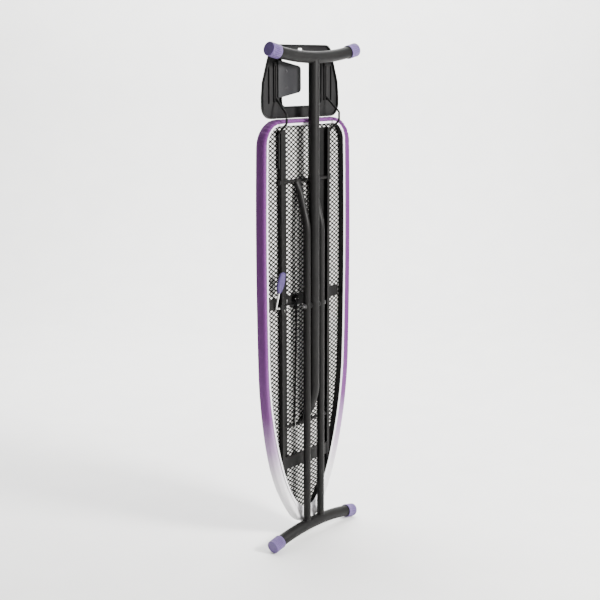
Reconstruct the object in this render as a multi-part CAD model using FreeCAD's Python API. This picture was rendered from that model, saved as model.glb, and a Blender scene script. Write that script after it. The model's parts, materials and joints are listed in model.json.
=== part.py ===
# Folding ironing board, folded flat and standing upright on its foot bar.
# Millimetres. X runs across the board, Z runs up along its length from the nose to the iron rest,
# and +Y points from the legs to the ironing surface. The origin is at the middle of the footprint.
import FreeCAD, Part
import math
import os
from FreeCAD import Vector

os.makedirs("parts", exist_ok=True)

# Depths, along Y
LEG_PLANE = -16.75          # centre plane of the folded legs
AXLE_PLANE = 19.25          # heel axle and sliding axle
BULGE_LOW = 1.0             # underside of the padded roll round the edge
COVER_LOW = 7.0             # underside of the cover's lip inside that roll
RIM_LOW = 10.25             # underside of the steel rim
RAIL_LOW = 12.0             # underside of the two rails
MESH_LOW = 26.75            # underside of the expanded metal sheet
SHEET = 0.6                 # thickness of that sheet
TOP = 36.75                 # ironing surface

# Board outline: tangent arcs from the nose tip up one side to the heel edge
NOSE_Z = 38.0
ARC_RADII = (75.0, 535.6, 1110.0, 11400.0, 79.0)
ARC_ENDS_DEG = (0.0, 54.22, 70.2, 88.35, 91.6, 180.0)
SKIN = 1.0                  # thickness of the cover
PAD_WRAP = 3.0              # padding round the edge of the rim
LIP_REACH = 20.0            # how far the cover's lip runs in under the rim
ROLL_REACH = 13.0           # width of the padded roll seen from below
MOUTH_SHIFT = 8.0           # the cover's mouth lies nearer to the heel than to the nose
HEM_WIDTH = 7.0             # light edging with the drawcord inside
RIM_REACH = 28.0            # inner edge of the steel rim
RIM_WALL = 1.2

# Legs and feet
HEEL_Z = 1090.0             # heel axle, the pivot of the twin leg
SLIDE_Z = 358.0             # sliding axle when folded
CROSS_Z = (HEEL_Z + SLIDE_Z) / 2.0
FOOT_R = 17.0
FOOT_ARCH = 829.0           # radius of the arched foot bars
FOOT_HALF = 193.0
FOOT_WALL = 1.2
CAP_R = 20.0
CAP_LENGTH = 37.0
CAP_END = 3.0
TOP_BAR_END_Z = 1462.0      # height of the upper foot bar's ends
TWIN_X = 32.0
TWIN_R = 11.0
TWIN_BEND_DEG = 15.5
SINGLE_R = 16.0
SINGLE_BEND_DEG = 20.0
LEG_BEND_R = 110.0
LEG_WALL = 1.2
EYE_R = 6.5                 # flattened tube end round an axle
EYE_HALF_THICK = 6.0
AXLE_R = 5.0
BOLT_R = 4.0                # pivot bolt where the legs cross
NUT_R = 7.5                 # across the corners
STUB_R = 4.0                # turned-down axle ends
RUNNING = 0.05              # radial clearance of a turning fit

# Rails and cross pieces
RAIL_INNER_X = 99.0
RAIL_OUTER_X = 110.5
FLANGE_X = 74.0             # inner edge of the flange against the sheet
RAIL_WALL = 1.2
RAIL_LOW_Z = 200.0
RAIL_HIGH_Z = 1238.0
RAIL_TOP = MESH_LOW - 0.15
STRIP_Z = (722.0, 755.0)
STRIP_HALF = 166.0
STRIP_THICK = 2.5
NOSE_PLATE_Z = (228.0, 265.0)

# Iron rest
REST_Z = (1268.9, 1475.0)
REST_LOW = 26.5
REST_HIGH = 36.5
REST_WALL = 3.0
WINDOW_HALF = 88.0
WINDOW_Z = (1303.0, 1445.0)
RIB_X = (138.0,)
WIRE_X = 111.5
WIRE_R = 3.2
WIRE_BEND = 9.0

# Height lever and rack
SHAFT_Z = 725.0
SHAFT_R = 3.0
LEVER_X = -129.0
SHAFT_SPLIT_X = -96.0
LEVER_LEAN_DEG = 13.8
GRIP_START = 50.0           # along the lever from its shaft
GRIP_LENGTH = 64.0
RACK_PIVOT = (11.0, 745.0)  # Y and Z of the rack's pivot pin
RACK_TOP_X = -47.0
RACK_END_X = -58.0
RACK_END_Z = 366.0
RACK_WIDTH = 3.2
RACK_PIN_R = 1.6
RACK_LOW = 8.2
RACK_HIGH = 13.6
TOOTH_PITCH = 42.0
SPRING_X = -85.0

ALONG_X = Vector(1, 0, 0)
ALONG_Y = Vector(0, 1, 0)
ALONG_Z = Vector(0, 0, 1)


def export(shape, name):
    shape.exportStep("parts/" + name + ".step")
    print(name, "solids", len(shape.Solids), "valid", shape.isValid(), "mm3", round(shape.Volume))


def box(low, high):
    size = [high[i] - low[i] for i in range(3)]
    return Part.makeBox(size[0], size[1], size[2], Vector(*low))


def x_rod(x0, x1, y, z, radius):
    return Part.makeCylinder(radius, x1 - x0, Vector(x0, y, z), ALONG_X)


def x_ring(x0, x1, y, z, outer, inner):
    return x_rod(x0, x1, y, z, outer).cut(x_rod(x0 - 1, x1 + 1, y, z, inner))


def mirrored(shape):
    return shape.mirror(Vector(0, 0, 0), ALONG_X)


def bent_path(points, bend):
    """Straight runs joined by tangent arcs; bend is one radius or one per corner."""
    pts = [Vector(*p) for p in points]
    radii = bend if isinstance(bend, (list, tuple)) else [bend] * (len(pts) - 2)
    edges = []
    start = pts[0]
    for i in range(1, len(pts) - 1):
        into = (pts[i] - pts[i - 1]).normalize()
        out = (pts[i + 1] - pts[i]).normalize()
        turn = into.getAngle(out)
        back = radii[i - 1] * math.tan(turn / 2)
        first = pts[i] - into * back
        last = pts[i] + out * back
        inward = (out - into).normalize()
        middle = pts[i] + inward * (radii[i - 1] / math.cos(turn / 2) - radii[i - 1])
        edges.append(Part.makeLine(start, first))
        edges.append(Part.Arc(first, middle, last).toShape())
        start = last
    edges.append(Part.makeLine(start, pts[-1]))
    return Part.Wire(edges)


def rod_along(points, bend, radius):
    path = bent_path(points, bend)
    first = Vector(*points[0])
    normal = Vector(*points[1]) - first
    profile = Part.Wire(Part.makeCircle(radius, first, normal))
    return path.makePipeShell([profile], True, False)


# ---------------------------------------------------------------- board

def half_outline(inset):
    """Arcs of the +X half of the outline, moved inward by inset: same centres, smaller radii."""
    x = 0.0
    z = NOSE_Z + inset
    edges = []
    for i, radius in enumerate(ARC_RADII):
        r = radius - inset
        a = math.radians(ARC_ENDS_DEG[i])
        b = math.radians(ARC_ENDS_DEG[i + 1])

        def at(angle):
            across = r * (math.sin(angle) - math.sin(a))
            along = r * (math.cos(a) - math.cos(angle))
            return Vector(x + across, 0, z + along)

        end = at(b)
        edges.append(Part.Arc(at(a), at((a + b) / 2), end).toShape())
        x, z = end.x, end.z
    return edges, Vector(x, 0, z)


def outline_face(inset, y):
    edges, heel = half_outline(inset)
    left = [mirrored(e) for e in edges]
    closing = Part.makeLine(heel, Vector(-heel.x, 0, heel.z))
    wire = Part.Wire(Part.__sortEdges__(edges + [closing] + left))
    face = Part.Face(wire)
    face.translate(Vector(0, y, 0))
    return face


def slab(inset, low, high):
    return outline_face(inset, low).extrude(Vector(0, high - low, 0))


def rounded_slab(inset, low, high, radius):
    """Slab whose outer edges are softened top and bottom by a stepped-in 45 degree band."""
    middle = slab(inset, low + radius, high - radius)
    bands = []
    for start, direction in ((high - radius, 1), (low + radius, -1)):
        base = outline_face(inset, start).OuterWire
        tip = outline_face(inset + radius, start + direction * radius).OuterWire
        bands.append(Part.makeLoft([base, tip], True, True))
    return middle.fuse(bands).removeSplitter()


def mouth(inset, low, high):
    """Slab of the opening under the board, shifted towards the heel."""
    opening = slab(inset, low, high)
    opening.translate(Vector(0, 0, MOUTH_SHIFT))
    return opening


def rim_frame():
    channel = slab(4.0, RIM_LOW, MESH_LOW).cut(mouth(RIM_REACH, RIM_LOW - 1, MESH_LOW + 1))
    trough = slab(4.0 + RIM_WALL, RIM_LOW + RIM_WALL, MESH_LOW + 1)
    return channel.cut(trough.cut(mouth(RIM_REACH - RIM_WALL, RIM_LOW, MESH_LOW + 2)))


def rolled_body(inset, radius):
    """Padded board with a deeper roll round its edge, seen from below."""
    body = rounded_slab(inset, BULGE_LOW + inset, TOP - inset, radius)
    return body.cut(slab(ROLL_REACH + SKIN - inset, BULGE_LOW - 1, COVER_LOW + inset))


def padding():
    """Flat foam over the metal sheet, and a roll of wadding round the rim's edge."""
    body = rolled_body(SKIN, 4.0)
    sheet_top = MESH_LOW + SHEET
    foam = body.cut(slab(0.0, 0.0, sheet_top))
    under = mouth(LIP_REACH, COVER_LOW, RIM_LOW)
    room = slab(SKIN + PAD_WRAP, RIM_LOW, sheet_top)
    roll = body.cut(slab(0.0, sheet_top, TOP)).cut(room).cut(under)
    return foam, roll


def cover():
    opening = mouth(LIP_REACH, COVER_LOW - 1, COVER_LOW + SKIN + 1)
    return rolled_body(0.0, 4.4).cut(rolled_body(SKIN, 4.0)).cut(opening)


def hem_edging():
    band = mouth(LIP_REACH, COVER_LOW, RIM_LOW)
    return band.cut(mouth(LIP_REACH + HEM_WIDTH, COVER_LOW - 1, RIM_LOW + 1))


def rail():
    """Channel open towards the middle, with a wide flange against the metal sheet."""
    outer = box((RAIL_INNER_X, RAIL_LOW, RAIL_LOW_Z), (RAIL_OUTER_X, RAIL_TOP, RAIL_HIGH_Z))
    inside = box((RAIL_INNER_X - 1, RAIL_LOW + RAIL_WALL, RAIL_LOW_Z - 1),
                 (RAIL_OUTER_X - RAIL_WALL, RAIL_TOP - RAIL_WALL, RAIL_HIGH_Z + 1))
    flange = box((FLANGE_X, RAIL_TOP - RAIL_WALL, RAIL_LOW_Z), (RAIL_INNER_X, RAIL_TOP, RAIL_HIGH_Z))
    low = (FLANGE_X - 1, RAIL_TOP - STRIP_THICK, STRIP_Z[0])
    strip_slot = box(low, (RAIL_OUTER_X + 1, TOP, STRIP_Z[1]))
    heel_hole = x_rod(RAIL_INNER_X, RAIL_OUTER_X + 1, AXLE_PLANE, HEEL_Z, STUB_R)
    shape = outer.cut(inside).fuse(flange).removeSplitter().cut(strip_slot).cut(heel_hole)
    return shape.common(mouth(RIM_REACH + 1.0, RAIL_LOW - 1, TOP))


def rail_left():
    shaft_hole = x_rod(-RAIL_OUTER_X - 1, -RAIL_INNER_X, AXLE_PLANE, SHAFT_Z, SHAFT_R + RUNNING)
    return mirrored(rail()).cut(shaft_hole)


def mid_cross_strip():
    return box((-STRIP_HALF, RAIL_TOP - STRIP_THICK, STRIP_Z[0]), (STRIP_HALF, RAIL_TOP, STRIP_Z[1]))


def nose_cross_plate():
    """Plate between the rails, with a lip folded back along each edge."""
    low, high = NOSE_PLATE_Z
    half = RAIL_OUTER_X - RAIL_WALL
    face = box((-half, RAIL_LOW + RAIL_WALL, low), (half, RAIL_LOW + RAIL_WALL + 1.5, high))
    lips = [box((-half, RAIL_LOW + RAIL_WALL, z), (half, RAIL_LOW + 8, z + 1.5)) for z in (low, high - 1.5)]
    return face.fuse(lips).removeSplitter().common(mouth(RIM_REACH + 1.0, 0, TOP))


def heel_axle():
    middle = x_rod(-98, 98, AXLE_PLANE, HEEL_Z, AXLE_R)
    return middle.fuse(x_rod(-113, 113, AXLE_PLANE, HEEL_Z, STUB_R))


def axle_caps():
    cap = x_ring(RAIL_OUTER_X, 115, AXLE_PLANE, HEEL_Z, 7.0, STUB_R)
    cap = cap.fuse(x_rod(113, 115, AXLE_PLANE, HEEL_Z, 6.0))
    return Part.Compound([cap, mirrored(cap)])


# ---------------------------------------------------------------- iron rest

def rest_outline(inset, y):
    """Tray outline: wide near the board, narrowing to a rounded top."""
    low = REST_Z[0] + inset
    high = REST_Z[1] - inset
    half_low = 168.0 - inset
    half_high = 124.0 - inset
    shoulder = 1330.0
    right = [(0, low), (half_low - 36, low), (half_low - 10, low + 11), (half_low, low + 38),
             (half_low, shoulder), (half_low - 4, shoulder + 40), (half_high + 12, high - 26),
             (half_high + 3, high - 8), (half_high - 16, high), (0, high)]
    p = [Vector(x, y, z) for x, z in right]
    edges = [Part.makeLine(p[0], p[1]), Part.Arc(p[1], p[2], p[3]).toShape(), Part.makeLine(p[3], p[4]),
             Part.makeLine(p[4], p[5]), Part.makeLine(p[5], p[6]), Part.Arc(p[6], p[7], p[8]).toShape(),
             Part.makeLine(p[8], p[9])]
    edges = edges + [mirrored(e) for e in edges]
    return Part.Face(Part.Wire(Part.__sortEdges__(edges)))


def rounded_box(low, high, radius):
    """Box with its four edges along Y rounded."""
    solid = box(low, high)
    edges = [e for e in solid.Edges if abs(e.tangentAt(e.FirstParameter).y) > 0.9]
    return solid.makeFillet(radius, edges)


def iron_rest():
    """Shallow tray, open on the leg side, with a framed window, stiffening ribs and two wire seats."""
    depth = REST_HIGH - REST_LOW
    tray = rest_outline(0.0, REST_LOW).extrude(Vector(0, depth, 0))
    dish = rest_outline(REST_WALL, REST_LOW - 1).extrude(Vector(0, depth + 1 - REST_WALL, 0))
    low, high = WINDOW_Z
    window = rounded_box((-WINDOW_HALF, REST_LOW - 1, low), (WINDOW_HALF, REST_HIGH + 1, high), 14.0)
    frame = rounded_box((-WINDOW_HALF - 3, REST_LOW, low - 3), (WINDOW_HALF + 3, REST_HIGH, high + 3), 17.0)
    slot = rounded_box((-10.0, REST_LOW - 1, 1459.0), (10.0, REST_HIGH + 1, 1465.0), 2.9)
    rest = tray.cut(dish).fuse(frame)
    for x in RIB_X:
        for side in (-1, 1):
            rib = box((side * x - 1.5, REST_LOW + 2, 1312.0), (side * x + 1.5, REST_HIGH, 1415.0))
            rest = rest.fuse(rib)
    for side in (-1, 1):
        middle = side * WIRE_X
        rest = rest.fuse(box((middle - 7.0, REST_LOW + 2, 1316.0), (middle + 7.0, REST_HIGH, 1424.0)))
    rest = rest.removeSplitter().cut(window).cut(slot)
    for side in (-1, 1):
        low = (side * WIRE_X - WIRE_R - 0.6, REST_LOW - 1, 1260.0)
        high = (side * WIRE_X + WIRE_R + 0.6, 32.0, 1416.0)
        rest = rest.cut(box(low, high))
    return rest


def rest_wire():
    """Bent rod from the rest, forward round the padded heel edge and back to the rail."""
    side = RAIL_OUTER_X + WIRE_R
    seat_y = 32.0 - WIRE_R
    points = [(WIRE_X, seat_y, 1415.0), (WIRE_X, seat_y, 1326.0), (118.0, -15.5, 1283.0),
              (118.0, -15.5, 1257.0), (side, 18.0, 1229.0), (side, 18.0, 1130.0)]
    return rod_along(points, WIRE_BEND, WIRE_R)


def rest_tab():
    """Riveted plate that reaches across the left of the window to a rounded end."""
    y = REST_LOW - 2.0
    corners = [(-106.0, 1328.0), (-106.0, 1430.0), (-88.0, 1429.0),
               (-8.0, 1414.0), (-8.0, 1342.0), (-88.0, 1329.0)]
    plate = Part.Face(Part.makePolygon([Vector(x, y, z) for x, z in corners + corners[:1]]))
    plate = plate.extrude(Vector(0, 2, 0))
    ends = [e for e in plate.Edges if abs(e.tangentAt(e.FirstParameter).y) > 0.9 and e.Vertexes[0].X > -20]
    return plate.makeFillet(12.0, ends)


def tab_rivets():
    y = REST_LOW - 2.0
    heads = []
    for z in (1357.0, 1401.0):
        ball = Part.makeSphere(5.0, Vector(-72.0, y + 2.6, z))
        heads.append(ball.common(box((-80, y - 4, z - 8), (-64, y, z + 8))))
    return Part.Compound(heads)


# ---------------------------------------------------------------- legs

def foot_arc(radius, half_length, upper):
    """Arched bar. Its ends are nearest the floor; the upper one is the same bar upside down."""
    rise = FOOT_ARCH * (1 - math.cos(math.asin(FOOT_HALF / FOOT_ARCH)))
    end = math.asin(FOOT_HALF / FOOT_ARCH)
    middle_z = rise + CAP_R * math.cos(end)
    centre = Vector(0, LEG_PLANE, middle_z - FOOT_ARCH)
    flare = math.degrees(math.asin(half_length / FOOT_ARCH))
    profile = Part.Face(Part.Wire(Part.makeCircle(radius, Vector(0, LEG_PLANE, middle_z), ALONG_X)))
    profile.rotate(centre, ALONG_Y, -flare)
    bar = profile.revolve(centre, ALONG_Y, 2 * flare)
    if upper:
        bar = bar.mirror(Vector(0, 0, (TOP_BAR_END_Z + middle_z - rise) / 2), ALONG_Z)
    return bar


def foot_bar(upper):
    return foot_arc(FOOT_R, FOOT_HALF - CAP_END, upper).cut(foot_arc(FOOT_R - FOOT_WALL, FOOT_HALF, upper))


def foot_cap(upper):
    """Ribbed plastic cap over one end of a foot bar."""
    span = foot_arc(CAP_R, FOOT_HALF, upper)
    keep = box((FOOT_HALF - CAP_LENGTH, -100, -50), (FOOT_HALF + 20, 100, 1600))
    return span.common(keep).cut(foot_arc(FOOT_R, FOOT_HALF - CAP_END, upper))


def leg_tube(x, foot_z, axle_z, radius, bend_deg, foot_up):
    """Tube from a foot bar, bent towards the board and pressed flat round its axle."""
    sign = 1 if foot_up else -1
    turn = math.radians(bend_deg)
    offset = AXLE_PLANE - LEG_PLANE
    corner_z = axle_z + sign * offset / math.tan(turn)
    flat = 3.6 * radius
    lean = Vector(0, math.sin(turn), -sign * math.cos(turn))
    axle = Vector(x, AXLE_PLANE, axle_z)
    neck = axle - lean * flat
    half_wide = radius * 1.16

    def solid(shrink):
        r = radius - shrink
        round_part = rod_along([(x, LEG_PLANE, foot_z), (x, LEG_PLANE, corner_z), (neck.x, neck.y, neck.z)],
                               LEG_BEND_R, r)
        circle = Part.Wire(Part.makeCircle(r, neck, lean))
        oval = Part.Ellipse(Vector(0, 0, 0), half_wide - shrink, EYE_HALF_THICK - shrink).toShape()
        oval.Placement = FreeCAD.Placement(axle, FreeCAD.Rotation(ALONG_X, Vector(0, 1, 0), lean, "XZY"))
        flattened = Part.makeLoft([circle, Part.Wire(oval)], True, True)
        return round_part.fuse(flattened)

    tube = solid(0.0).cut(solid(LEG_WALL))
    return tube.fuse(x_rod(x - half_wide, x + half_wide, AXLE_PLANE, axle_z, EYE_R))


def twin_tube(side):
    foot = foot_arc(FOOT_R, FOOT_HALF, False)
    tube = leg_tube(side * TWIN_X, 46.0, HEEL_Z, TWIN_R, TWIN_BEND_DEG, False).cut(foot)
    tube = tube.cut(x_rod(-60, 60, AXLE_PLANE, HEEL_Z, AXLE_R + RUNNING))
    return tube.cut(x_rod(-60, 60, LEG_PLANE, CROSS_Z, BOLT_R))


def single_tube():
    foot = foot_arc(FOOT_R, FOOT_HALF, True)
    tube = leg_tube(0.0, 1437.0, SLIDE_Z, SINGLE_R, SINGLE_BEND_DEG, True).cut(foot)
    tube = tube.cut(x_rod(-60, 60, AXLE_PLANE, SLIDE_Z, AXLE_R))
    return tube.cut(x_rod(-60, 60, LEG_PLANE, CROSS_Z, BOLT_R + RUNNING + 2.0))


def pivot_sleeve():
    return x_ring(-SINGLE_R - 0.6, SINGLE_R + 0.6, LEG_PLANE, CROSS_Z, BOLT_R + RUNNING + 2.0, BOLT_R + RUNNING)


def pivot_bolt():
    return x_rod(-48.5, 48.5, LEG_PLANE, CROSS_Z, BOLT_R)


def hexagon_nut(x0, x1):
    turns = [math.radians(60 * i) for i in range(7)]
    corners = [Vector(x0, LEG_PLANE + NUT_R * math.sin(t), CROSS_Z + NUT_R * math.cos(t)) for t in turns]
    nut = Part.Face(Part.makePolygon(corners)).extrude(Vector(x1 - x0, 0, 0))
    return nut.cut(x_rod(x0 - 1, x1 + 1, LEG_PLANE, CROSS_Z, BOLT_R))


def pivot_nuts():
    nut = hexagon_nut(TWIN_X + TWIN_R + 1.2, TWIN_X + TWIN_R + 4.4)
    return Part.Compound([nut, mirrored(nut)])


def pivot_washers():
    """A steel washer under each nut and a plastic spacer on each side of the single tube."""
    outer = x_ring(TWIN_X + TWIN_R, TWIN_X + TWIN_R + 1.2, LEG_PLANE, CROSS_Z, 8.5, BOLT_R)
    spacer = x_ring(SINGLE_R + 1.0, TWIN_X - TWIN_R, LEG_PLANE, CROSS_Z, 9.0, BOLT_R)
    return [Part.Compound([outer, mirrored(outer)]), Part.Compound([spacer, mirrored(spacer)])]


def sliding_axle():
    middle = x_rod(-98, 98, AXLE_PLANE, SLIDE_Z, AXLE_R)
    return middle.fuse(x_rod(-108, 108, AXLE_PLANE, SLIDE_Z, STUB_R))


def glide():
    """Plastic block that runs inside a rail on the axle's end."""
    half_deep = (RAIL_TOP - RAIL_LOW) / 2 - RAIL_WALL - 0.5
    middle = (RAIL_TOP + RAIL_LOW) / 2
    block = rounded_box((RAIL_INNER_X - 0.5, middle - half_deep, SLIDE_Z - 15),
                        (RAIL_OUTER_X - RAIL_WALL - 0.5, middle + half_deep, SLIDE_Z + 15), 1.0)
    return block.cut(x_rod(90, 120, AXLE_PLANE, SLIDE_Z, STUB_R + RUNNING))


# ---------------------------------------------------------------- height lever

def lever_direction():
    lean = math.radians(LEVER_LEAN_DEG)
    return Vector(0, -math.sin(lean), math.cos(lean))


def lever_rod():
    """Bright rod: the outer end of the shaft, bent up into the lever."""
    along = lever_direction()
    end = Vector(LEVER_X, AXLE_PLANE, SHAFT_Z) + along * (GRIP_START + GRIP_LENGTH - 12)
    points = [(SHAFT_SPLIT_X, AXLE_PLANE, SHAFT_Z), (LEVER_X, AXLE_PLANE, SHAFT_Z), (end.x, end.y, end.z)]
    return rod_along(points, 7.0, SHAFT_R)


def lever_shaft():
    """Black inner length of the shaft, from the lever's rod to the rack."""
    return x_rod(SHAFT_SPLIT_X, RACK_TOP_X, AXLE_PLANE, SHAFT_Z, SHAFT_R)


def lever_collar():
    """Pressed collar that keeps the shaft from sliding out of its bracket."""
    return x_ring(-RAIL_OUTER_X - 10.5, -RAIL_OUTER_X - 6.5, AXLE_PLANE, SHAFT_Z, 4.7, SHAFT_R)


def lever_grip():
    """Leaf-shaped paddle moulded over the rod."""
    top = GRIP_LENGTH
    outline = [(-5, 0), (-15, 26), (-12, 56), (-7, top), (7, top), (12.5, 56), (15, 26), (5, 0)]
    p = [Vector(x, -5.5, z) for x, z in outline]
    edges = [Part.Arc(p[0], Vector(-12.0, -5.5, 12), p[1]).toShape(), Part.makeLine(p[1], p[2]),
             Part.Arc(p[2], Vector(-10.5, -5.5, 61.5), p[3]).toShape(), Part.makeLine(p[3], p[4]),
             Part.Arc(p[4], Vector(10.8, -5.5, 61.5), p[5]).toShape(), Part.makeLine(p[5], p[6]),
             Part.Arc(p[6], Vector(12.0, -5.5, 12), p[7]).toShape(), Part.makeLine(p[7], p[0])]
    paddle = Part.Face(Part.Wire(edges)).extrude(Vector(0, 11, 0))
    bore = Part.makeCylinder(SHAFT_R, GRIP_LENGTH - 12 + 1, Vector(0, 0, -1), ALONG_Z)
    paddle = paddle.cut(bore)
    paddle.rotate(Vector(0, 0, 0), ALONG_X, LEVER_LEAN_DEG)
    paddle.translate(Vector(LEVER_X, AXLE_PLANE, SHAFT_Z) + lever_direction() * GRIP_START)
    return paddle


def lever_finger():
    """Hub on the shaft with the short finger that pushes the rack off the axle."""
    x0, x1 = RACK_TOP_X - 3, RACK_TOP_X + 3
    hub = x_ring(x0, x1, AXLE_PLANE, SHAFT_Z, 4.5, SHAFT_R)
    finger = box((x0, 14.2, SHAFT_Z - 11), (x1, AXLE_PLANE + 1.5, SHAFT_Z - 5))
    web = box((x0, 16.0, SHAFT_Z - 8), (x1, AXLE_PLANE + 1.5, SHAFT_Z - 3.5))
    return hub.fuse(finger).fuse(web).cut(x_rod(x0 - 1, x1 + 1, AXLE_PLANE, SHAFT_Z, SHAFT_R)).removeSplitter()


def lever_bracket():
    """Bearing plate on the outside of the left rail."""
    x = -RAIL_OUTER_X
    plate = rounded_box((x - 2.5, RAIL_LOW, SHAFT_Z - 11), (x, RAIL_TOP - STRIP_THICK, SHAFT_Z + 11), 1.0)
    boss = x_rod(x - 6, x, AXLE_PLANE, SHAFT_Z, 4.5)
    return plate.fuse(boss).cut(x_rod(x - 10, x + 1, AXLE_PLANE, SHAFT_Z, SHAFT_R + RUNNING))


def rack_x(z):
    share = (RACK_PIVOT[1] - z) / (RACK_PIVOT[1] - RACK_END_Z)
    return RACK_TOP_X + share * (RACK_END_X - RACK_TOP_X)


def height_rack():
    """Long flat bar with a row of notches, one for each working height."""
    lean = math.degrees(math.atan((RACK_TOP_X - RACK_END_X) / (RACK_PIVOT[1] - RACK_END_Z)))
    half = RACK_WIDTH / 2
    top = RACK_PIVOT[1] + 8
    bar = box((-half, RACK_LOW, RACK_END_Z - 6), (half, RACK_HIGH, top))
    z = RACK_END_Z + 46
    while z < SLIDE_Z + 330:
        edge = RACK_HIGH + 0.1
        corners = [(edge, z - 5), (RACK_HIGH - 3, z - 5), (edge, z + 9), (edge, z - 5)]
        notch = Part.Face(Part.makePolygon([Vector(-9, y, height) for y, height in corners]))
        bar = bar.cut(notch.extrude(Vector(18, 0, 0)))
        z = z + TOOTH_PITCH
    bar.translate(Vector(RACK_TOP_X, 0, 0))
    bar.rotate(Vector(RACK_TOP_X, 0, RACK_PIVOT[1]), ALONG_Y, lean)
    pin_hole = x_rod(-70, -30, RACK_PIVOT[0], RACK_PIVOT[1], RACK_PIN_R + RUNNING)
    return bar.cut(pin_hole)


def rack_hook():
    """Bright strip on the rack's lower end that curls under the sliding axle when folded."""
    x = rack_x(RACK_END_Z)
    y = RACK_LOW - 0.75
    points = [(x, y, RACK_END_Z + 18), (x, y, SLIDE_Z - 12), (x, AXLE_PLANE + 2, SLIDE_Z - 12)]
    path = bent_path(points, 4.5)
    wide, thick, top = 1.6, 0.75, points[0][2]
    corners = [(-wide, -thick), (wide, -thick), (wide, thick), (-wide, thick), (-wide, -thick)]
    profile = Part.makePolygon([Vector(x + across, y + deep, top) for across, deep in corners])
    return path.makePipeShell([profile], True, False)


def rack_bracket():
    """Two ears on the middle strip that carry the rack's pivot pin."""
    low, high = RACK_PIVOT[1] - 9, RACK_PIVOT[1] + 9
    back = RAIL_TOP - STRIP_THICK
    inner = RACK_TOP_X + 3.5
    outer = RACK_TOP_X - 3.5
    ears = [box((x, 8.0, low), (x + 1.5, back, high)) for x in (outer - 1.5, inner)]
    base = box((outer - 1.5, back - 1.5, low), (inner + 1.5, back, high))
    bracket = base.fuse(ears).removeSplitter()
    return bracket.cut(x_rod(outer - 5, inner + 5, RACK_PIVOT[0], RACK_PIVOT[1], RACK_PIN_R))


def rack_pin():
    y, z = RACK_PIVOT
    pin = x_rod(RACK_TOP_X - 6, RACK_TOP_X + 6, y, z, RACK_PIN_R)
    return pin.fuse(x_rod(RACK_TOP_X + 5, RACK_TOP_X + 6.5, y, z, 2.6))


def return_spring():
    """Torsion spring on the lever's shaft: a close-wound coil, a tail on the strip and one on the rail."""
    centres = [Vector(SPRING_X + 1.3 * i, AXLE_PLANE, SHAFT_Z) for i in range(8)]
    coils = [Part.makeTorus(3.9, 0.7, centre, ALONG_X) for centre in centres]
    coil = coils[0].multiFuse(coils[1:])
    last = SPRING_X + 1.3 * 7
    up = Part.makeCylinder(0.7, 17.0, Vector(last, AXLE_PLANE + 3.0, SHAFT_Z + 2.5), ALONG_Z)
    down = Part.makeCylinder(0.7, 15.0, Vector(SPRING_X, AXLE_PLANE + 3.0, SHAFT_Z - 17.5), ALONG_Z)
    return coil.multiFuse([up, down])


def build_board():
    export(rim_frame(), "rim_frame")
    export(slab(4.0, MESH_LOW, MESH_LOW + SHEET), "mesh_top")
    foam, roll = padding()
    export(foam, "foam_pad")
    export(roll, "edge_wadding")
    export(cover(), "cover")
    export(hem_edging(), "hem_edging")
    export(rail(), "rail_right")
    export(rail_left(), "rail_left")
    export(mid_cross_strip(), "mid_cross_strip")
    export(nose_cross_plate(), "nose_cross_plate")
    export(heel_axle(), "heel_axle")
    export(axle_caps(), "heel_axle_caps")


def build_rest():
    export(iron_rest(), "iron_rest")
    export(rest_wire(), "rest_wire_right")
    export(mirrored(rest_wire()), "rest_wire_left")
    export(rest_tab(), "rest_tab")
    export(tab_rivets(), "tab_rivets")


def build_legs():
    export(twin_tube(-1), "twin_tube_left")
    export(twin_tube(1), "twin_tube_right")
    export(single_tube(), "single_tube")
    for name, upper in (("twin", False), ("single", True)):
        export(foot_bar(upper), name + "_foot_bar")
        export(foot_cap(upper), name + "_cap_right")
        export(mirrored(foot_cap(upper)), name + "_cap_left")
    export(pivot_bolt(), "pivot_bolt")
    export(pivot_nuts(), "pivot_nuts")
    washers, spacers = pivot_washers()
    export(washers, "pivot_washers")
    export(spacers, "pivot_spacers")
    export(pivot_sleeve(), "pivot_sleeve")
    export(sliding_axle(), "sliding_axle")
    export(glide(), "glide_right")
    export(mirrored(glide()), "glide_left")


def build_lever():
    export(lever_rod(), "lever_rod")
    export(lever_shaft(), "lever_shaft")
    export(lever_collar(), "lever_collar")
    export(lever_grip(), "lever_grip")
    export(lever_finger(), "lever_finger")
    export(lever_bracket(), "lever_bracket")
    export(height_rack(), "height_rack")
    export(rack_hook(), "rack_hook")
    export(rack_bracket(), "rack_bracket")
    export(rack_pin(), "rack_pin")
    export(return_spring(), "return_spring")


build_board()
build_rest()
build_legs()
build_lever()
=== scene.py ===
# The looks of a folding ironing board, folded and standing upright. Metres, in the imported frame.
import json
import math

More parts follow.
